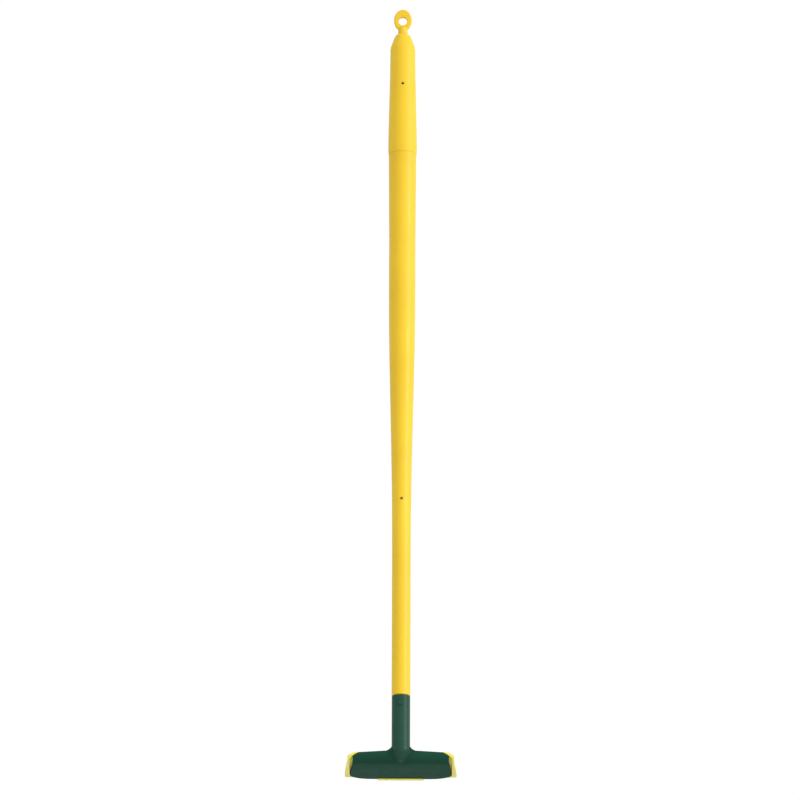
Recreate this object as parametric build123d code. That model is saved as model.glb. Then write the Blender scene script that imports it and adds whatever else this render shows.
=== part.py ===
from build123d import *
import os
from math import cos, radians, sin

os.makedirs("parts", exist_ok=True)

# A long-handled grub hoe, hanging by its eye. Millimetres. The handle's axis is Z, the origin is the centre
# of the hanging hole, and the blade runs away from the handle along +Y, rising a little towards its edge.

# Hanging eye
eye_hole_radius = 6.5
eye_half_width = 13.3
eye_half_height = 17.2
eye_rise = 1.6
eye_thickness = 6.0
eye_rim_rounding = 2.2
eye_hole_rounding = 1.0
eye_neck_radius = 7.1
eye_neck_length = 5.7
eye_stem_radius = 4.0
eye_stem_reach = 30.0
swivel_clearance = 0.05
swivel_end_float = 0.4
stem_hole_clearance = 0.4
washer_radius = 7.2
washer_thickness = 1.5
clip_radius = 6.4
clip_thickness = 1.0

# Handle, from the domed end of the grip down to the socket
dome_flat_radius = 7.8
dome_fall = 0.25
dome_shoulder_radius = 12.4
dome_shoulder_drop = 4.6
dome_cheek_radius = 16.2
dome_cheek_drop = 15.4
dome_height = 28.0
grip_top_radius = 18.5
grip_end_radius = 21.2
grip_flare = 0.006
grip_length = 191.0
grip_lip_rounding = 0.3
grip_lip_length = 7.0
grip_lip_step = 0.4
grip_wall = 3.0
grip_lap = 15.0
body_top_radius = 20.3
body_radius = 19.4
body_straight = 240.7
body_narrowing_length = 144.4
taper_length = 390.0
taper_first_radius = 17.2
taper_first_drop = 136.5
taper_second_radius = 14.75
taper_second_drop = 249.6
filler_tip_drop = 234.0
shaft_length = 208.5
shaft_end_chamfer = 1.2
core_radius = 9.5
plug_length = 48.0
plug_bore_length = 18.0
support_hole_radius = 2.2
upper_hole_drop = 105.0
lower_hole_drop = 752.6

# Socket and its rivet
spigot_wall = 2.0
socket_wall = 2.0
socket_depth = 76.0
socket_floor = 5.5
core_foot_thickness = 4.0
socket_toe_height = 17.4
socket_toe_waist_radius = 9.4
socket_toe_waist_drop = 8.0
socket_toe_slope = 0.5
rivet_drop = 12.5
rivet_radius = 2.4
rivet_head_radius = 4.2
rivet_head_height = 1.5
rivet_head_rounding = 0.9
socket_mouth_rounding = 0.5
rivet_washer_radius = 6.2
rivet_washer_height = 1.2

# Blade
blade_thickness = 4.0
blade_rise = 4.0
blade_run = 112.0
blade_half_width = 74.5
blade_heel_half_width = 60.5
heel_radius = 14.0
heel_upright = 3.9
heel_front = -4.0
shoulder_drop = 2.8
shoulder_height = 9.4
shoulder_bulge = 1.0
heel_narrowing = 4.4
edge_corner_radius = 30.0
edge_bow = 1.0
edge_bevel_length = 14.0
edge_land = 0.8
weld_leg = 7.0
weld_root = 1.0

# Blade guard
guard_clearance = 0.4
guard_rim = 7.2
guard_wall = 3.2
guard_front_wall = 1.8
guard_end = 99.0
guard_corner_rounding = 5.0
guard_cover_start = 26.0
guard_lip_half_width = 34.0
guard_lip_length = 8.0
guard_lip_thickness = 1.1
guard_lip_rounding = 2.5

# How far a cutting shape runs past what it cuts
overrun = 5.0

# Levels and radii that follow from the sizes above
dome_top = eye_rise - eye_half_height - eye_neck_length
grip_bottom = dome_top - grip_length
body_bottom = grip_bottom - body_straight
shaft_top = body_bottom - taper_length
mouth = shaft_top - shaft_length
socket_bore_radius = core_radius + spigot_wall
shaft_radius = socket_bore_radius + socket_wall
socket_bore_bottom = mouth - socket_depth
heel_top = socket_bore_bottom - socket_floor
plug_bottom = dome_top - grip_wall - plug_length
plug_bore_bottom = dome_top - grip_wall - plug_bore_length
core_bottom = socket_bore_bottom + core_foot_thickness


def turned(outline):
    """A solid turned about Z from a closed outline of (radius, height) edges."""
    return revolve(Plane.XZ * make_face(outline), Axis.Z)


def rod(radius, low, high):
    """A round bar on the handle's axis."""
    return Pos(0, 0, low) * Cylinder(radius, high - low, align=(Align.CENTER, Align.CENTER, Align.MIN))


def cross_bar(radius, near, far, height):
    """A round bar along Y, through the handle's axis at the given height."""
    bar = Cylinder(radius, far - near, align=(Align.CENTER, Align.CENTER, Align.MIN))
    return Plane(origin=(0, near, height), x_dir=(1, 0, 0), z_dir=(0, 1, 0)) * bar


def slab(low, high):
    """Everything around the handle between two heights."""
    wide = 4 * blade_half_width
    return Pos(0, 0, (low + high) / 2) * Box(wide, wide, high - low)


def grip_envelope(inset):
    """The outer shape of the grip, domed at the top, less an even inset."""
    diagonal = inset * cos(radians(45))
    dome = Spline(
        (dome_flat_radius, dome_top - inset),
        (dome_shoulder_radius - diagonal, dome_top - dome_shoulder_drop - diagonal),
        (dome_cheek_radius - inset, dome_top - dome_cheek_drop - diagonal),
        (grip_top_radius - inset, dome_top - dome_height),
        tangents=[(1, -dome_fall), (0, -1)],
    )
    side = Spline(
        (grip_top_radius - inset, dome_top - dome_height),
        (grip_end_radius - inset, grip_bottom + grip_lip_length),
        tangents=[(0, -1), (grip_flare, -1)],
    )
    lip_radius = body_top_radius + grip_lip_step
    closing = Polyline(
        (grip_end_radius - inset, grip_bottom + grip_lip_length),
        (lip_radius - inset, grip_bottom),
        (0, grip_bottom),
        (0, dome_top - inset),
        (dome_flat_radius, dome_top - inset),
    )
    return turned([dome, side, closing])


def shaft_envelope(inset):
    """The outer shape of the handle from the grip to the socket's mouth, less an even inset."""
    taper = Spline(
        (body_top_radius - inset, grip_bottom),
        (body_radius - inset, grip_bottom - body_narrowing_length),
        (body_radius - inset, body_bottom),
        (taper_first_radius - inset, body_bottom - taper_first_drop),
        (taper_second_radius - inset, body_bottom - taper_second_drop),
        (shaft_radius - inset, shaft_top),
        tangents=[(-grip_flare, -1), (0, -1)],
    )
    closing = Polyline(
        (shaft_radius - inset, shaft_top),
        (shaft_radius - inset, mouth),
        (0, mouth),
        (0, grip_bottom),
        (body_top_radius - inset, grip_bottom),
    )
    return turned([taper, closing])


def support_holes():
    """Small holes down to the core, front and back, left by the pins that hold the core in its mould."""
    holes = []
    for drop in (upper_hole_drop, lower_hole_drop):
        through = cross_bar(support_hole_radius, -grip_end_radius, grip_end_radius, -drop)
        holes.append(through - rod(core_radius, -drop - overrun, -drop + overrun))
    return holes


def make_hanging_eye():
    plate = extrude(Plane.XZ * Ellipse(eye_half_width, eye_half_height), eye_thickness / 2, both=True)
    plate = Pos(0, 0, eye_rise) * fillet(plate.edges(), eye_rim_rounding)
    plate -= cross_bar(eye_hole_radius, -eye_thickness, eye_thickness, 0)
    hole_rims = plate.edges().filter_by(GeomType.CIRCLE)
    plate = fillet(hole_rims, eye_hole_rounding)
    neck_bottom = dome_top + swivel_end_float
    web_middle = (eye_rise - eye_half_height - eye_hole_radius) / 2
    neck = rod(eye_neck_radius, neck_bottom, web_middle)
    stem = rod(eye_stem_radius, dome_top - eye_stem_reach, neck_bottom)
    return plate + neck + stem


def make_eye_washer():
    top = plug_bore_bottom - swivel_end_float
    return rod(washer_radius, top - washer_thickness, top) - rod(eye_stem_radius, top - overrun, top + overrun)


def make_eye_clip():
    top = plug_bore_bottom - swivel_end_float - washer_thickness
    return rod(clip_radius, top - clip_thickness, top) - rod(eye_stem_radius, top - overrun, top + overrun)


def make_end_plug():
    plug = grip_envelope(grip_wall) & slab(plug_bottom, 0)
    plug -= rod(eye_stem_radius + swivel_clearance, plug_bottom, 0)
    return plug - rod(core_radius, plug_bottom, plug_bore_bottom)


def make_grip_sleeve(holes):
    sleeve = grip_envelope(0) - grip_envelope(grip_wall)
    sleeve -= rod(eye_stem_radius + stem_hole_clearance, dome_top - grip_wall - overrun, 0)
    for hole in holes:
        sleeve -= hole
    rim = sleeve.edges().filter_by(GeomType.CIRCLE).sort_by(Axis.Z)[0:2].sort_by(SortBy.RADIUS)[-1]
    return fillet(rim, grip_lip_rounding)


def make_grip_filler(holes):
    filler = grip_envelope(grip_wall) & slab(grip_bottom + grip_lap, plug_bottom)
    filler -= rod(core_radius, grip_bottom, plug_bottom)
    for hole in holes:
        filler -= hole
    return filler


def make_shaft_filler():
    filler = shaft_envelope(shaft_radius - core_radius) & slab(body_bottom - filler_tip_drop, grip_bottom)
    return filler - rod(core_radius, mouth, 0)


def make_shaft_skin(filler, holes):
    skin = shaft_envelope(0)
    lower_rim = skin.edges().filter_by(GeomType.CIRCLE).sort_by(Axis.Z)[0]
    skin = chamfer(lower_rim, shaft_end_chamfer)
    skin += grip_envelope(grip_wall) & slab(grip_bottom, grip_bottom + grip_lap)
    skin += rod(socket_bore_radius, core_bottom, mouth + 2 * shaft_end_chamfer)
    skin -= rod(core_radius, core_bottom - overrun, 0)
    skin -= filler
    for hole in holes:
        skin -= hole
    return skin - rivet_hole()


def rivet_hole():
    return cross_bar(rivet_radius, -2 * shaft_radius, 2 * shaft_radius, mouth - rivet_drop)


def make_core():
    return rod(core_radius, core_bottom, plug_bottom) - rivet_hole()


def make_core_foot():
    return rod(socket_bore_radius, socket_bore_bottom, core_bottom)


def blade_plane():
    """The blade's own frame: its outer face is at height 0, and it runs outwards along local Y."""
    rise = radians(blade_rise)
    normal = Vector(0, -sin(rise), cos(rise))
    heel_centre = Vector(0, heel_front + heel_radius, heel_top - heel_upright)
    return Plane(origin=heel_centre - normal * heel_radius, x_dir=(1, 0, 0), z_dir=normal)


def bent_section(below, above):
    """The blade's side view as a strip from below its outer face to above its inner face, in its own frame."""
    turn = 90 + blade_rise
    outer = heel_radius + below
    inner = heel_radius - blade_thickness - above
    centre = (0, heel_radius)
    outer_arc = CenterArc(centre, outer, 270, -turn)
    inner_arc = CenterArc(centre, inner, 270, -turn)
    up = Vector(sin(radians(blade_rise)), cos(radians(blade_rise)))
    outer_top = (outer_arc @ 1) + up * heel_upright
    inner_top = (inner_arc @ 1) + up * heel_upright
    end = 2 * blade_run
    sides = Polyline(inner_arc @ 1, inner_top, outer_top, outer_arc @ 1)
    run = Polyline(outer_arc @ 0, (end, -below), (end, blade_thickness + above), inner_arc @ 0)
    section = make_face([outer_arc, inner_arc, sides, run])
    side_plane = Plane(origin=(0, 0, 0), x_dir=(0, 1, 0), z_dir=(1, 0, 0))
    return side_plane * section


def plan_outline(grow, narrowing):
    """The blade's outline seen square to its face, from behind the heel to the bowed cutting edge."""
    half = blade_half_width + grow
    heel_half = half - narrowing
    corner = edge_corner_radius + grow
    edge = blade_run + grow
    corner_end = edge - edge_bow
    side_end = corner_end - corner
    bow_x = half - corner
    back = -2 * heel_radius
    slant = cos(radians(45))
    corners = [
        ThreePointArc(
            (side * half, side_end),
            (side * (bow_x + corner * slant), side_end + corner * slant),
            (side * bow_x, corner_end),
        )
        for side in (-1, 1)
    ]
    bow = ThreePointArc((-bow_x, corner_end), (0, edge), (bow_x, corner_end))
    heel_and_sides = Polyline(
        (-half, side_end),
        (-heel_half, 0),
        (-heel_half, back),
        (heel_half, back),
        (heel_half, 0),
        (half, side_end),
    )
    return make_face([*corners, bow, heel_and_sides])


def shoulder_outline(grow):
    """The blade's outline seen along its run: the shoulders slope and are rounded down into the sides."""
    top = heel_radius + heel_upright
    half = blade_half_width + grow
    heel_half = blade_heel_half_width + grow
    shoulder = top - shoulder_drop
    side_top = shoulder - shoulder_height
    foot = -3 * heel_radius
    shoulders = [
        SagittaArc((side * heel_half, shoulder), (side * half, side_top), side * shoulder_bulge)
        for side in (-1, 1)
    ]
    crown = Polyline((-heel_half, shoulder), (-shaft_radius, top), (shaft_radius, top), (heel_half, shoulder))
    sides = Polyline((half, side_top), (half, foot), (-half, foot), (-half, side_top))
    return make_face([*shoulders, crown, sides])


def bent_form(below, above, grow, plan):
    """The bent strip, thickened by below and above, cut to a plan outline and to the grown shoulders."""
    wide = 2 * blade_half_width
    reach = 2 * blade_run
    form = extrude(bent_section(below, above), wide, both=True)
    form &= extrude(plan, wide, both=True)
    along_run = Plane(origin=(0, -reach, 0), x_dir=(1, 0, 0), z_dir=(0, -1, 0))
    return form & extrude(along_run * shoulder_outline(grow), -2 * reach)


def make_blade():
    plate = bent_form(0, 0, 0, plan_outline(0, heel_narrowing))
    bevel_start = blade_run - edge_bevel_length
    side_plane = Plane(origin=(0, 0, 0), x_dir=(0, 1, 0), z_dir=(1, 0, 0))
    ground_off = make_face(
        Polyline(
            (bevel_start, blade_thickness),
            (blade_run, edge_land),
            (blade_run + overrun, edge_land),
            (blade_run + overrun, blade_thickness + overrun),
            (bevel_start, blade_thickness + overrun),
            close=True,
        )
    )
    plate -= extrude(side_plane * ground_off, 2 * blade_half_width, both=True)
    return blade_plane() * plate


def make_socket(blade):
    tube = rod(shaft_radius, heel_top, mouth)
    mouth_rim = tube.edges().filter_by(GeomType.CIRCLE).sort_by(Axis.Z)[-1]
    tube = fillet(mouth_rim, socket_mouth_rounding)
    tip = heel_top - socket_toe_height
    toe_side = Spline(
        (shaft_radius, heel_top),
        (socket_toe_waist_radius, heel_top - socket_toe_waist_drop),
        (0, tip),
        tangents=[(0, -1), (-1, -socket_toe_slope)],
    )
    toe = turned([toe_side, Polyline((0, tip), (0, heel_top), (shaft_radius, heel_top))])
    socket = tube + toe
    socket -= rod(socket_bore_radius, socket_bore_bottom, mouth + overrun)
    socket -= rivet_hole()
    return socket - blade


def make_welds(blade, socket):
    """Fillet beads where the blade's top edge meets both sides of the socket."""
    hollow_depth = weld_leg * (1 - cos(radians(45)))
    root = heel_top - weld_root
    beads = []
    for side in (-1, 1):
        inner = side * (shaft_radius - weld_root)
        outer = side * (shaft_radius + weld_leg)
        hollow = ThreePointArc(
            (outer, root),
            (side * (shaft_radius + hollow_depth), heel_top + hollow_depth),
            (inner, heel_top + weld_leg),
        )
        back = Polyline((inner, heel_top + weld_leg), (inner, root), (outer, root))
        bead = extrude(Plane.XZ * make_face([hollow, back]), blade_thickness)
        bead = Pos(0, heel_front + blade_thickness, 0) * bead
        beads.append((bead - blade - socket).solid())
    return Compound(children=beads)


def make_rivet():
    level = mouth - rivet_drop
    front = -shaft_radius - rivet_head_height
    tail = shaft_radius + rivet_washer_height + rivet_head_height
    shank = cross_bar(rivet_radius, front, tail, level)
    head = cross_bar(rivet_head_radius, front, 0, level)
    head = fillet(head.edges().filter_by(GeomType.CIRCLE).sort_by(Axis.Y)[0], rivet_head_rounding)
    head -= rod(shaft_radius, level - 2 * rivet_head_radius, level + 2 * rivet_head_radius)
    upset = cross_bar(rivet_head_radius, shaft_radius + rivet_washer_height, tail, level)
    upset = fillet(upset.edges().filter_by(GeomType.CIRCLE).sort_by(Axis.Y)[-1], rivet_head_rounding)
    return shank + head + upset


def make_rivet_washer():
    level = mouth - rivet_drop
    washer = cross_bar(rivet_washer_radius, 0, shaft_radius + rivet_washer_height, level)
    washer -= rod(shaft_radius, level - 2 * rivet_washer_radius, level + 2 * rivet_washer_radius)
    return washer - rivet_hole()


def guard_outline(front):
    """The guard seen square to the blade: straight sides, a square end and a tongue over the edge's middle."""
    half = blade_half_width + guard_clearance + guard_rim
    heel_half = half - heel_narrowing
    flare_end = blade_run - edge_bow - edge_corner_radius
    back = -2 * heel_radius
    sides = Polyline(
        (-half, guard_end),
        (-half, flare_end),
        (-heel_half, 0),
        (-heel_half, back),
        (heel_half, back),
        (heel_half, 0),
        (half, flare_end),
        (half, guard_end),
        close=True,
    )
    outline = make_face(sides)
    end_corners = outline.vertices().group_by(Axis.Y)[-1]
    outline = fillet(end_corners, guard_corner_rounding)
    tongue = Rectangle(2 * guard_lip_half_width, front, align=(Align.CENTER, Align.MIN))
    return outline + tongue


def make_guard():
    """A tray over the blade's inner face, walled along its sides, with a lip under the edge's middle."""
    gap = guard_clearance
    front = blade_run + gap + guard_front_wall
    guard = bent_form(0, gap + guard_wall, gap + guard_rim, guard_outline(front))
    guard -= bent_form(gap, gap, gap, plan_outline(gap, 0))
    guard -= Pos(0, guard_cover_start, 0) * middle_block(2 * (blade_heel_half_width + gap))
    lip = Box(
        2 * guard_lip_half_width,
        guard_lip_length + gap + guard_front_wall,
        guard_lip_thickness,
        align=(Align.CENTER, Align.MIN, Align.MAX),
    )
    lip = fillet(lip.edges().filter_by(Axis.Z), guard_lip_rounding)
    lip_post = Box(
        2 * (guard_lip_half_width - guard_lip_rounding),
        guard_front_wall,
        2 * gap,
        align=(Align.CENTER, Align.MIN, Align.CENTER),
    )
    guard += Pos(0, blade_run - guard_lip_length, -gap) * lip
    guard += Pos(0, blade_run + gap, 0) * lip_post
    return blade_plane() * guard


def middle_block(width):
    """A block short of a line across the blade and as wide as asked, in the blade's own frame."""
    deep = 4 * blade_half_width
    return Box(width, deep, 2 * deep, align=(Align.CENTER, Align.MAX, Align.CENTER))


holes = support_holes()
blade = make_blade()
socket = make_socket(blade)
shaft_filler = make_shaft_filler()
nodes = {
    "hanging_eye": make_hanging_eye(),
    "eye_washer": make_eye_washer(),
    "eye_clip": make_eye_clip(),
    "end_plug": make_end_plug(),
    "grip_sleeve": make_grip_sleeve(holes),
    "grip_filler": make_grip_filler(holes),
    "shaft_filler": shaft_filler,
    "shaft_skin": make_shaft_skin(shaft_filler, holes),
    "fibreglass_core": make_core(),
    "core_foot": make_core_foot(),
    "socket": socket,
    "socket_rivet": make_rivet(),
    "rivet_washer": make_rivet_washer(),
    "blade": blade,
    "weld_beads": make_welds(blade, socket),
    "blade_guard": make_guard(),
}
for name, solid in nodes.items():
    export_step(solid, f"parts/{name}.step")
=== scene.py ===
import math
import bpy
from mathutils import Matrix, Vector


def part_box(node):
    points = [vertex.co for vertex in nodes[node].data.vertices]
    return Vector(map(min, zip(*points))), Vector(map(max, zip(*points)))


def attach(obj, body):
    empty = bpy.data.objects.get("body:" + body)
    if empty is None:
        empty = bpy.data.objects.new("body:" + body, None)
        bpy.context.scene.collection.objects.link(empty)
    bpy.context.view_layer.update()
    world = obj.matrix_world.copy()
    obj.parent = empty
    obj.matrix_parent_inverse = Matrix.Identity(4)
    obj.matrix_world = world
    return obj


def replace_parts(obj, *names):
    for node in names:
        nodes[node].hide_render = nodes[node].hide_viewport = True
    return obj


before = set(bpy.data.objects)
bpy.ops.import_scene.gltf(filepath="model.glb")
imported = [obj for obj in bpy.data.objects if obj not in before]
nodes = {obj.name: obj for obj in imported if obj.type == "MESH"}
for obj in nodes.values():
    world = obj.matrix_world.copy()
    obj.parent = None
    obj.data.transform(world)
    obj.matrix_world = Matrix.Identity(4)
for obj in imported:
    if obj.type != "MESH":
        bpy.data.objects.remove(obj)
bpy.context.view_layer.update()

from types import SimpleNamespace

import bmesh
import bpy
from mathutils import Matrix, Vector
from mathutils.bvhtree import BVHTree

# The camera stands well back and below the hoe, which hangs by its eye, and looks up at the outer face
# of its blade.
aim = Vector((-0.0027, 0.0, -0.5965))
camera_back = 12.0
camera_rise = math.radians(-18.0)
camera_roll = math.radians(0.17)
lens_view = bpy.data.cameras.new("long_lens")
lens_view.sensor_width = 36.0
lens_view.lens = 365.6
lens_view.clip_start = 0.1
lens_view.clip_end = 200.0
camera = bpy.data.objects.new("camera", lens_view)
bpy.context.scene.collection.objects.link(camera)
back = Vector((0.0, -math.cos(camera_rise), math.sin(camera_rise)))
camera.rotation_mode = "QUATERNION"
camera.location = aim + back * camera_back
roll = Matrix.Rotation(camera_roll, 4, "Z").to_quaternion()
camera.rotation_quaternion = (-back).to_track_quat("-Z", "Y") @ roll
bpy.context.scene.camera = camera
bpy.context.scene.view_settings.view_transform = "Standard"
bpy.context.scene.view_settings.look = "None"

# The studio: a round pale floor far below the hoe, a white surround that is a little darker on the left
# and below the floor's far edge, and soft boxes on the right.
floor_level = -7.4
floor_radius = 45.0


def shader_node(tree, kind, inputs=None, **settings):
    """A new shader node. An input that is another node's output is linked, and a value is set."""
    made = tree.nodes.new("ShaderNode" + kind)
    for name, value in settings.items():
        setattr(made, name, value)
    for name, value in (inputs or {}).items():
        if isinstance(value, bpy.types.NodeSocket):
            tree.links.new(value, made.inputs[name])
        else:
            made.inputs[name].default_value = value
    return made


def tune(tree, value, low, high, from_low=0.0, from_high=1.0, smooth=False):
    """value moved from one range to another, and held inside it."""
    kind = "SMOOTHSTEP" if smooth else "LINEAR"
    made = shader_node(tree, "MapRange", interpolation_type=kind, clamp=True)
    tree.links.new(value, made.inputs["Value"])
    for name, number in zip(("From Min", "From Max", "To Min", "To Max"), (from_low, from_high, low, high)):
        made.inputs[name].default_value = number
    return made.outputs["Result"]


def reckon(tree, operation, first, second=0.0):
    """One sum on two numbers or node outputs."""
    made = shader_node(tree, "Math", operation=operation)
    for socket, value in zip(made.inputs, (first, second)):
        if isinstance(value, bpy.types.NodeSocket):
            tree.links.new(value, socket)
        else:
            socket.default_value = value
    return made.outputs[0]


world = bpy.data.worlds.new("white_surround")
world.use_nodes = True
bpy.context.scene.world = world
air = world.node_tree
direction = shader_node(air, "TexCoord").outputs["Generated"]
split = shader_node(air, "SeparateXYZ", {"Vector": direction})
below = tune(air, split.outputs["Z"], 0.76, 1.0, -0.16, 0.02, smooth=True)
left = tune(air, split.outputs["X"], 0.78, 1.0, -0.55, -0.12, smooth=True)
level = reckon(air, "MINIMUM", below, left)
backdrop = air.nodes["Background"]
shade = shader_node(air, "CombineColor", {"Red": level, "Green": level, "Blue": level})
air.links.new(shade.outputs["Color"], backdrop.inputs["Color"])
backdrop.inputs["Strength"].default_value = 1.02

floor_mesh = bpy.data.meshes.new("studio_floor")
sheet = bmesh.new()
bmesh.ops.create_circle(
    sheet, cap_ends=True, segments=96, radius=floor_radius, matrix=Matrix.Translation((0, 0, floor_level))
)
sheet.to_mesh(floor_mesh)
sheet.free()
floor = bpy.data.objects.new("studio_floor", floor_mesh)
bpy.context.scene.collection.objects.link(floor)
floor_finish = bpy.data.materials.new("pale_floor")
floor_finish.use_nodes = True
floor_shader = floor_finish.node_tree.nodes["Principled BSDF"]
floor_shader.inputs["Base Color"].default_value = (0.77, 0.77, 0.76, 1.0)
floor_shader.inputs["Roughness"].default_value = 0.9
floor.data.materials.append(floor_finish)


def soft_box(name, place, target, width, height, power):
    """A rectangular studio lamp that faces its target."""
    lamp = bpy.data.lights.new(name, "AREA")
    lamp.shape = "RECTANGLE"
    lamp.size = width
    lamp.size_y = height
    lamp.energy = power
    box = bpy.data.objects.new(name, lamp)
    bpy.context.scene.collection.objects.link(box)
    box.rotation_mode = "QUATERNION"
    box.location = place
    box.rotation_quaternion = (Vector(target) - Vector(place)).to_track_quat("-Z", "Y")


soft_box("right_soft_box", (3.9, -2.4, 0.5), (0.0, 0.0, -0.6), 1.15, 3.0, 108.0)
soft_box("low_soft_box", (1.6, -3.4, -3.0), (0.0, 0.0, -1.1), 1.4, 1.4, 14.0)

# The core: a pultruded glass-fibre rod through the whole handle, down to the bottom of the socket.
# Straight glass rovings show along it in amber resin.


def new_finish(name, **settings):
    """An empty material of that name, with its nodes, its shader and the piece's own coordinates."""
    made = bpy.data.materials.new(name)
    made.use_nodes = True
    tree = made.node_tree
    shader = tree.nodes["Principled BSDF"]
    for socket, value in settings.items():
        shader.inputs[socket.replace("_", " ")].default_value = value
    place = shader_node(tree, "TexCoord").outputs["Object"]
    return SimpleNamespace(material=made, tree=tree, shader=shader, place=place)


def stretched(finish, scale):
    """The piece's coordinates, scaled by a different amount along each axis."""
    made = shader_node(finish.tree, "Mapping", {"Vector": finish.place, "Scale": scale})
    return made.outputs["Vector"]


def noise(tree, place, scale, detail=2.0, roughness=0.5):
    """Cloudy noise between 0 and 1."""
    made = shader_node(
        tree, "TexNoise", {"Vector": place, "Scale": scale, "Detail": detail, "Roughness": roughness}
    )
    return made.outputs["Fac"]


def blend_colours(tree, amount, first, second):
    """The first colour where the amount is 0 and the second where it is 1."""
    made = shader_node(tree, "Mix", data_type="RGBA", blend_type="MIX", clamp_factor=True)
    for socket, value in ((made.inputs[0], amount), (made.inputs[6], first), (made.inputs[7], second)):
        if isinstance(value, bpy.types.NodeSocket):
            tree.links.new(value, socket)
        elif isinstance(value, tuple):
            socket.default_value = (*value, 1.0)
        else:
            socket.default_value = value
    return made.outputs[2]


def dress(finish, colour, roughness, height, bump_depth, bump_strength=1.0, normal=None):
    """Joins the finished colour, roughness and height to the shader."""
    tree = finish.tree
    tree.links.new(colour, finish.shader.inputs["Base Color"])
    tree.links.new(roughness, finish.shader.inputs["Roughness"])
    bump = shader_node(tree, "Bump", {"Strength": bump_strength, "Distance": bump_depth, "Height": height})
    if normal is not None:
        tree.links.new(normal, bump.inputs["Normal"])
    tree.links.new(bump.outputs["Normal"], finish.shader.inputs["Normal"])


def wear(finish, *names):
    """Gives a finish to CAD pieces in place of their plain colour."""
    for name in names:
        slots = nodes[name].material_slots
        if not slots:
            nodes[name].data.materials.append(finish.material)
        for slot in slots:
            slot.material = finish.material


rod_finish = new_finish("pultruded_core", Subsurface_Weight=0.0)
rovings = noise(rod_finish.tree, stretched(rod_finish, (1400.0, 1400.0, 14.0)), 1.0, 3.0, 0.6)
resin_cloud = noise(rod_finish.tree, rod_finish.place, 38.0, 2.0)
rod_colour = blend_colours(rod_finish.tree, rovings, (0.42, 0.33, 0.17), (0.66, 0.57, 0.36))
rod_colour = blend_colours(
    rod_finish.tree, tune(rod_finish.tree, resin_cloud, 0.0, 0.5, 0.4, 0.7), rod_colour, (0.34, 0.24, 0.10)
)
dress(rod_finish, rod_colour, tune(rod_finish.tree, rovings, 0.32, 0.52), rovings, 0.0002, 0.5)
wear(rod_finish, "fibreglass_core")

# The fillers: rigid foam poured round the core where the handle is thick, to keep the moulded skin thin.
# It sets with a fine closed cell.
foam_finish = new_finish("foam_filler")
cells = shader_node(
    foam_finish.tree, "TexVoronoi", {"Vector": foam_finish.place, "Scale": 900.0}
).outputs["Distance"]
foam_cloud = noise(foam_finish.tree, foam_finish.place, 60.0, 3.0)
foam_colour = blend_colours(foam_finish.tree, foam_cloud, (0.70, 0.64, 0.47), (0.84, 0.80, 0.66))
dress(foam_finish, foam_colour, tune(foam_finish.tree, cells, 0.7, 0.95), cells, 0.0004, 0.8)
wear(foam_finish, "grip_filler", "shaft_filler")

# The handle's skin: yellow polypropylene moulded over the core in one long two-part mould. It has a fine
# sparked texture, faint flow clouds and a few rubbed places.


def group_socket(group, name, kind, into, value=None):
    made = group.interface.new_socket(name=name, in_out="INPUT" if into else "OUTPUT", socket_type=kind)
    if value is not None:
        made.default_value = value


def new_group(name, numbers, vectors, outputs):
    """An empty node group with number and vector inputs and number or vector outputs."""
    group = bpy.data.node_groups.new(name, "ShaderNodeTree")
    for socket in vectors:
        group_socket(group, socket, "NodeSocketVector", True)
    for socket, value in numbers.items():
        group_socket(group, socket, "NodeSocketFloat", True, value)
    for socket, kind in outputs.items():
        group_socket(group, socket, "NodeSocket" + kind, False)
    entry = group.nodes.new("NodeGroupInput").outputs
    leaving = group.nodes.new("NodeGroupOutput").inputs
    return group, entry, leaving


def use_group(finish, group, **inputs):
    made = finish.tree.nodes.new("ShaderNodeGroup")
    made.node_tree = group
    for name, value in inputs.items():
        socket = made.inputs[name.replace("_", " ")]
        if isinstance(value, bpy.types.NodeSocket):
            finish.tree.links.new(value, socket)
        else:
            socket.default_value = value
    return made.outputs


# Moulded grain: a fine spark texture as height, with slow clouds that shift the colour and the gloss.
moulded_grain, entry, leaving = new_group(
    "moulded_grain", {"Grain Scale": 1500.0, "Cloud Scale": 12.0}, ["Place"],
    {"Height": "Float", "Cloud": "Float", "Gloss": "Float"},
)
gloss_scale = reckon(moulded_grain, "MULTIPLY", entry["Cloud Scale"], 7.0)
for part, scale, detail, lowest in (
    ("Height", entry["Grain Scale"], 2.0, 0.25),
    ("Cloud", entry["Cloud Scale"], 4.0, 0.3),
    ("Gloss", gloss_scale, 3.0, 0.3),
):
    speckle = noise(moulded_grain, entry["Place"], scale, detail)
    moulded_grain.links.new(tune(moulded_grain, speckle, 0.0, 1.0, lowest, 1.0 - lowest), leaving[part])

# Edge wear: where a corner is sharper than the given radius, broken up by noise.
edge_wear, entry, leaving = new_group(
    "edge_wear", {"Radius": 0.001, "Breakup Scale": 220.0, "Amount": 0.5}, ["Place"],
    {"Mask": "Float", "Rounded": "Vector"},
)
rounded = shader_node(edge_wear, "Bevel", {"Radius": entry["Radius"]}, samples=6)
straight = shader_node(edge_wear, "NewGeometry").outputs["Normal"]
turn = shader_node(edge_wear, "VectorMath", operation="DOT_PRODUCT")
edge_wear.links.new(rounded.outputs["Normal"], turn.inputs[0])
edge_wear.links.new(straight, turn.inputs[1])
sharp = tune(edge_wear, turn.outputs["Value"], 1.0, 0.0, 0.86, 0.995)
rubbed = noise(edge_wear, entry["Place"], entry["Breakup Scale"], 4.0, 0.6)
rubbed = reckon(edge_wear, "ADD", rubbed, reckon(edge_wear, "MULTIPLY", entry["Amount"], 0.5))
worn = reckon(edge_wear, "MULTIPLY", sharp, rubbed)
edge_wear.links.new(tune(edge_wear, worn, 0.0, 1.0, 0.42, 0.62), leaving["Mask"])
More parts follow.
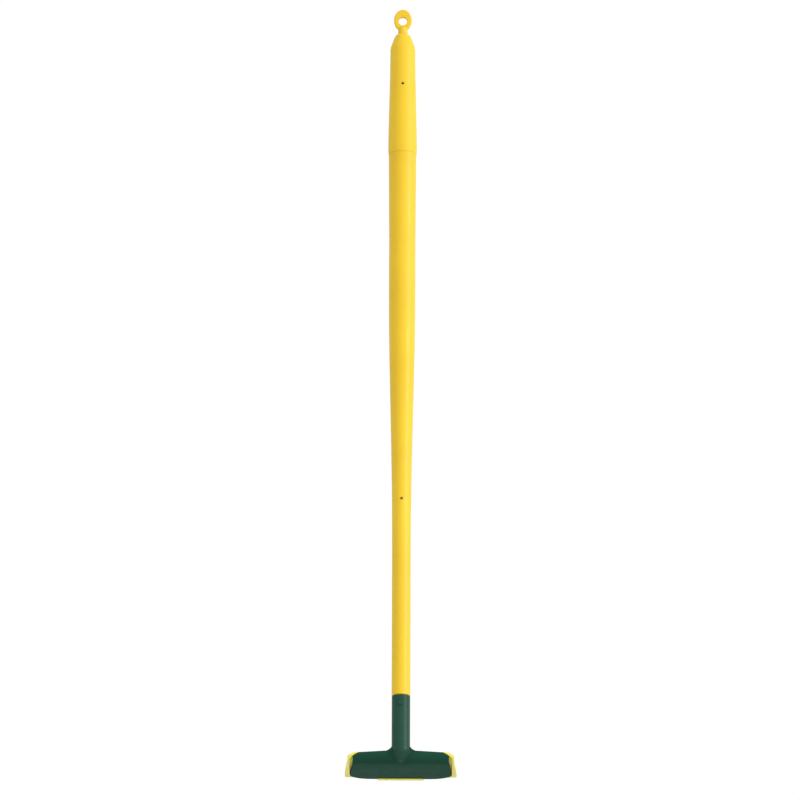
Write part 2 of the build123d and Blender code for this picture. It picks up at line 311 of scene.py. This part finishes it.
edge_wear.links.new(rounded.outputs["Normal"], leaving["Rounded"])

# Scuffs: short thin rub marks that run mostly along the handle.
scuffs, entry, leaving = new_group(
    "scuffs", {"Length": 30.0, "Fineness": 900.0, "Amount": 0.5}, ["Place"], {"Mask": "Float"}
)
fineness = entry["Fineness"]
ratio = shader_node(scuffs, "CombineXYZ", {"X": fineness, "Y": fineness, "Z": entry["Length"]})
stretch = shader_node(scuffs, "VectorMath", operation="MULTIPLY")
scuffs.links.new(entry["Place"], stretch.inputs[0])
scuffs.links.new(ratio.outputs["Vector"], stretch.inputs[1])
lines = noise(scuffs, stretch.outputs["Vector"], 1.0, 2.0, 0.55)
patches = noise(scuffs, entry["Place"], 26.0, 2.0)
limit = reckon(scuffs, "SUBTRACT", 0.86, reckon(scuffs, "MULTIPLY", entry["Amount"], 0.24))
over = reckon(scuffs, "SUBTRACT", lines, limit)
over = tune(scuffs, over, 0.0, 1.0, 0.0, 0.05)
in_patches = tune(scuffs, patches, 0.0, 1.0, 0.5, 0.62)
scuffs.links.new(reckon(scuffs, "MULTIPLY", over, in_patches), leaving["Mask"])


def plastic(
    name, body, deep, rubbed_colour, gloss_from, gloss_to, grain_scale, grain_depth, scuff, **settings
):
    """A moulded plastic: clouded colour, spark texture, rubbed corners and thin scuffs."""
    finish = new_finish(name, **settings)
    tree = finish.tree
    grain = use_group(finish, moulded_grain, Place=finish.place, Grain_Scale=grain_scale, Cloud_Scale=11.0)
    corner = use_group(finish, edge_wear, Place=finish.place, Radius=0.0007, Breakup_Scale=260.0, Amount=0.35)
    rub = use_group(finish, scuffs, Place=finish.place, Length=28.0, Fineness=1100.0, Amount=scuff)
    colour = blend_colours(tree, grain["Cloud"], deep, body)
    colour = blend_colours(tree, reckon(tree, "MULTIPLY", corner["Mask"], 0.35), colour, rubbed_colour)
    colour = blend_colours(tree, reckon(tree, "MULTIPLY", rub["Mask"], 0.45), colour, rubbed_colour)
    rough = tune(tree, grain["Gloss"], gloss_from, gloss_to)
    rough = reckon(tree, "ADD", rough, reckon(tree, "MULTIPLY", rub["Mask"], 0.12))
    height = reckon(tree, "SUBTRACT", grain["Height"], reckon(tree, "MULTIPLY", rub["Mask"], 0.8))
    dress(finish, colour, rough, height, grain_depth, 0.6, corner["Rounded"])
    return finish


handle_yellow = plastic(
    "handle_skin", (0.845, 0.560, 0.013), (0.810, 0.515, 0.011), (0.90, 0.74, 0.22), 0.36, 0.46, 1500.0,
    0.00012, 0.45, Specular_IOR_Level=0.4, Subsurface_Weight=0.05, Subsurface_Scale=0.002,
)
wear(handle_yellow, "shaft_skin")

# The grip sleeve: a thicker, slightly softer sleeve of the same yellow, moulded on last. It laps over
# the shaft's skin and ends in a small rounded lip.
grip_yellow = plastic(
    "grip_sleeve_skin", (0.845, 0.565, 0.014), (0.815, 0.525, 0.012), (0.90, 0.74, 0.22), 0.40, 0.50, 1150.0,
    0.00016, 0.5, Specular_IOR_Level=0.4, Subsurface_Weight=0.05, Subsurface_Scale=0.002,
)
wear(grip_yellow, "grip_sleeve")

# The parting line: a low rounded ridge up each side of the sleeve and the shaft, where the two halves of
# the mould met.
ridge_half_width = 0.00045
ridge_height = 0.00016
ridge_root = 0.0003
ridge_top_share = 0.35
ridge_least_radius = 0.0125


def smooth_copy(node):
    """A copy of a CAD piece's mesh as a bmesh, with its loose triangles merged into one skin."""
    skin = bmesh.new()
    skin.from_mesh(nodes[node].data)
    bmesh.ops.remove_doubles(skin, verts=skin.verts, dist=2e-6)
    return skin


def piece_from(name, skin, finish, body, smooth_angle=40.0):
    """Makes a mesh object of a finished bmesh, dresses it and lets it ride on a body."""
    mesh = bpy.data.meshes.new(name)
    skin.to_mesh(mesh)
    skin.free()
    mesh.shade_smooth()
    mesh.set_sharp_from_angle(angle=math.radians(smooth_angle))
    mesh.materials.append(finish.material)
    made = bpy.data.objects.new(name, mesh)
    bpy.context.scene.collection.objects.link(made)
    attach(made, body)
    return made


def side_ridge(name, node, side, finish):
    """A strip of a moulding's own side face, raised into a narrow ridge that follows its profile."""
    skin = smooth_copy(node)
    for way in (1, -1):
        everything = skin.verts[:] + skin.edges[:] + skin.faces[:]
        bmesh.ops.bisect_plane(
            skin, geom=everything, dist=1e-7, clear_outer=True,
            plane_co=(0.0, way * ridge_half_width, 0.0), plane_no=(0.0, way, 0.0),
        )
    skin.normal_update()
    inner = [
        face for face in skin.faces
        if face.normal.x * side < 0.9 or face.calc_center_median().x * side < ridge_least_radius
    ]
    bmesh.ops.delete(skin, geom=inner, context="FACES")
    grown = bmesh.ops.extrude_face_region(skin, geom=skin.faces[:], use_keep_orig=True)
    top = [v for v in grown["geom"] if isinstance(v, bmesh.types.BMVert)]
    root = [v for v in skin.verts if v not in set(top)]
    bmesh.ops.translate(skin, verts=top, vec=(side * ridge_height, 0.0, 0.0))
    bmesh.ops.scale(skin, verts=top, vec=(1.0, ridge_top_share, 1.0))
    bmesh.ops.translate(skin, verts=root, vec=(-side * ridge_root, 0.0, 0.0))
    bmesh.ops.recalc_face_normals(skin, faces=skin.faces)
    piece_from(name, skin, finish, "handle", smooth_angle=180.0)


for word, side in (("right", 1), ("left", -1)):
    side_ridge(word + "_sleeve_seam", "grip_sleeve", side, grip_yellow)
    side_ridge(word + "_shaft_seam", "shaft_skin", side, handle_yellow)

# The end plug and the core's foot: black moulded nylon. The plug sits in the top of the grip and the
# eye's stem turns in it. The foot is a disc that closes the lower end of the core.
plug_black = plastic(
    "plug_nylon", (0.035, 0.035, 0.037), (0.028, 0.028, 0.030), (0.10, 0.10, 0.10), 0.42, 0.55, 1800.0,
    0.00008, 0.3,
)
wear(plug_black, "end_plug", "core_foot")

# The hanging eye: one moulding of plate, neck and stem, in the handle's yellow. Its ring is rubbed by
# the hook that it hangs on.
eye_yellow = plastic(
    "eye_moulding", (0.820, 0.540, 0.013), (0.780, 0.500, 0.012), (0.84, 0.70, 0.24), 0.34, 0.46, 2200.0,
    0.00008, 0.6, Specular_IOR_Level=0.4, Subsurface_Weight=0.05, Subsurface_Scale=0.002,
)
wear(eye_yellow, "hanging_eye")

# The eye's washer and clip: bright zinc-plated steel, pressed. They hold the eye's stem in the end plug,
# out of sight, and the clip is pushed on from below.
zinc = new_finish("zinc_plate", Metallic=1.0)
spangle = noise(zinc.tree, zinc.place, 900.0, 4.0, 0.6)
zinc_cloud = noise(zinc.tree, zinc.place, 160.0, 3.0)
zinc_colour = blend_colours(zinc.tree, spangle, (0.46, 0.47, 0.49), (0.64, 0.65, 0.66))
zinc_corner = use_group(zinc, edge_wear, Place=zinc.place, Radius=0.0004, Breakup_Scale=500.0, Amount=0.6)
zinc_colour = blend_colours(zinc.tree, zinc_corner["Mask"], zinc_colour, (0.80, 0.80, 0.80))
zinc_gloss = tune(zinc.tree, zinc_cloud, 0.28, 0.44)
dress(zinc, zinc_colour, zinc_gloss, spangle, 0.00006, 0.5, zinc_corner["Rounded"])
wear(zinc, "eye_washer", "eye_clip")

# The head: a pressed steel blade with its heel turned up against the foot of a turned steel socket,
# welded on both sides and sprayed satin dark green. The paint is thin on the corners, and the cutting
# edge is ground bright on its inner side.
paint_colour = (0.0150, 0.0690, 0.0440)
paint_deep = (0.0120, 0.0550, 0.0360)
primer_grey = (0.085, 0.115, 0.100)


def sprayed_paint(name, bare_edge, roughness, **settings):
    """Satin paint on steel: spray texture, clouded green, thin corners and scuffs."""
    finish = new_finish(name, **settings)
    tree = finish.tree
    grain = use_group(finish, moulded_grain, Place=finish.place, Grain_Scale=620.0, Cloud_Scale=16.0)
    corner = use_group(finish, edge_wear, Place=finish.place, Radius=0.0008, Breakup_Scale=300.0, Amount=0.30)
    rub = use_group(finish, scuffs, Place=finish.place, Length=60.0, Fineness=700.0, Amount=0.35)
    colour = blend_colours(tree, grain["Cloud"], paint_deep, paint_colour)
    colour = blend_colours(tree, reckon(tree, "MULTIPLY", corner["Mask"], 0.55), colour, primer_grey)
    colour = blend_colours(tree, reckon(tree, "MULTIPLY", rub["Mask"], 0.35), colour, primer_grey)
    rough = tune(tree, grain["Gloss"], roughness - 0.06, roughness + 0.06)
    height = grain["Height"]
    if bare_edge is not None:
        ground = bare_edge(finish)
        stone_marks = noise(tree, stretched(finish, (60.0, 2600.0, 2600.0)), 1.0, 3.0, 0.6)
        steel = blend_colours(tree, stone_marks, (0.24, 0.25, 0.26), (0.44, 0.45, 0.46))
        colour = blend_colours(tree, ground, colour, steel)
        rough = reckon(tree, "SUBTRACT", rough, reckon(tree, "MULTIPLY", ground, 0.20))
        tree.links.new(reckon(tree, "MULTIPLY", ground, 0.9), finish.shader.inputs["Metallic"])
        height = reckon(tree, "ADD", height, reckon(tree, "MULTIPLY", stone_marks, ground))
    dress(finish, colour, rough, height, 0.00010, 0.7, corner["Rounded"])
    return finish


def ground_strip(finish):
    """1 on the ground strip behind the cutting edge, where the inner face is stoned to bare steel."""
    tree = finish.tree
    blade_low, blade_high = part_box("blade")
    split = shader_node(tree, "SeparateXYZ", {"Vector": finish.place})
    ripple = noise(tree, finish.place, 90.0, 3.0)
    reach = reckon(tree, "ADD", split.outputs["Y"], reckon(tree, "MULTIPLY", ripple, 0.0016))
    near_edge = tune(tree, reach, 0.0, 1.0, blade_high.y - 0.0135, blade_high.y - 0.0130)
    up = shader_node(tree, "SeparateXYZ", {"Vector": shader_node(tree, "NewGeometry").outputs["Normal"]})
    return reckon(tree, "MULTIPLY", near_edge, tune(tree, up.outputs["Z"], 0.0, 1.0, 0.2, 0.5))


blade_paint = sprayed_paint("blade_paint", ground_strip, 0.68, Specular_IOR_Level=0.025)
socket_paint = sprayed_paint("socket_paint", None, 0.36, Specular_IOR_Level=0.17)
wear(socket_paint, "socket", "socket_rivet", "rivet_washer")


def eased(node, ease, finish, body):
    """Puts a copy of a CAD piece in its place, with its sharp edges broken by a small round."""
    flat_angle = math.radians(1.0)
    sharp_angle = math.radians(30.0)
    skin = smooth_copy(node)
    bmesh.ops.dissolve_limit(skin, angle_limit=flat_angle, verts=skin.verts, edges=skin.edges)
    sharp = [edge for edge in skin.edges if edge.is_manifold and edge.calc_face_angle() > sharp_angle]
    bmesh.ops.bevel(
        skin, geom=sharp, offset=ease, offset_type="OFFSET", segments=3, profile=0.5, affect="EDGES",
        material=-1, clamp_overlap=True,
    )
    bmesh.ops.triangulate(skin, faces=skin.faces)
    bmesh.ops.recalc_face_normals(skin, faces=skin.faces)
    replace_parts(piece_from(node + "_eased", skin, finish, body), node)


# The welds: a bead laid round the socket's foot where it stands on the blade's outer face, in small
# overlapping ripples, with a fillet at each side of the socket. It is painted over with the head.
bead_radius = 0.0017
ripple_length = 0.0023
ripple_swell = 0.10
bead_step = 0.0005


def weld_line():
    """The points where the socket's foot meets the blade's outer face, from its left end to its right end."""
    foot = smooth_copy("socket")
    plate = smooth_copy("blade")
    surface = BVHTree.FromBMesh(plate)
    plate.free()
    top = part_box("blade")[1].z
    found = set()
    for edge in foot.edges:
        if len(edge.link_faces) < 2 or edge.calc_face_angle(0.0) < 0.3:
            continue
        for corner in edge.verts:
            place, facing, index, gap = surface.find_nearest(corner.co)
            outward = facing.y < -0.2 or facing.z < -0.2
            if gap < 3e-5 and outward and corner.co.z < top - 0.0003:
                found.add(tuple(round(c, 6) for c in corner.co))
    foot.free()
    return sorted(found, key=lambda p: (round(p[0], 4), math.copysign(p[2], p[0])))


def even_steps(points, step):
    """The points of a line, taken again at an even step along it."""
    taken, left = [points[0]], step
    for start, end in zip(points, points[1:]):
        run = (end - start).length
        while run > left:
            start = start + (end - start) * (left / run)
            taken.append(start)
            run, left = (end - start).length, step
        left -= run
    return taken


beads = even_steps([Vector(p) for p in weld_line()], bead_step)
bead_curve = bpy.data.curves.new("foot_weld", "CURVE")
bead_curve.dimensions = "3D"
bead_curve.bevel_depth = bead_radius
bead_curve.bevel_resolution = 5
bead_curve.use_fill_caps = True
spline = bead_curve.splines.new("POLY")
spline.points.add(len(beads) - 1)
for number, (point, place) in enumerate(zip(spline.points, beads)):
    ripple = math.sin(2 * math.pi * number * bead_step / ripple_length)
    end = min(1.0, 0.35 + 0.16 * min(number, len(beads) - 1 - number))
    point.co = (*place, 1.0)
    point.radius = end * (1.0 + ripple_swell * ripple)
drawn = bpy.data.objects.new("foot_weld_line", bead_curve)
bead_mesh = bpy.data.meshes.new_from_object(drawn)
bpy.data.objects.remove(drawn)
bead_skin = bmesh.new()
bead_skin.from_mesh(bead_mesh)
bmesh.ops.remove_doubles(bead_skin, verts=bead_skin.verts, dist=1e-6)
bmesh.ops.recalc_face_normals(bead_skin, faces=bead_skin.faces)
piece_from("foot_weld", bead_skin, socket_paint, "handle", 60.0)
wear(socket_paint, "weld_beads")

# The blade's edges: sheared, then broken with a file before the paint goes on.
blade_ease = 0.00025
eased("blade", blade_ease, blade_paint, "handle")

# The blade guard: a pale yellow polyethylene cover that pulls off along the blade. It covers the inner
# face and both sides, and a tongue in its middle hooks under the cutting edge with a thin lip.
guard_ease = 0.0005
guard_plastic = plastic(
    "guard_moulding", (0.860, 0.790, 0.125), (0.800, 0.730, 0.110), (0.90, 0.88, 0.45), 0.38, 0.50, 1300.0,
    0.00012, 0.5, Specular_IOR_Level=0.4, Subsurface_Weight=0.15, Subsurface_Scale=0.004,
)
eased("blade_guard", guard_ease, guard_plastic, "guard")
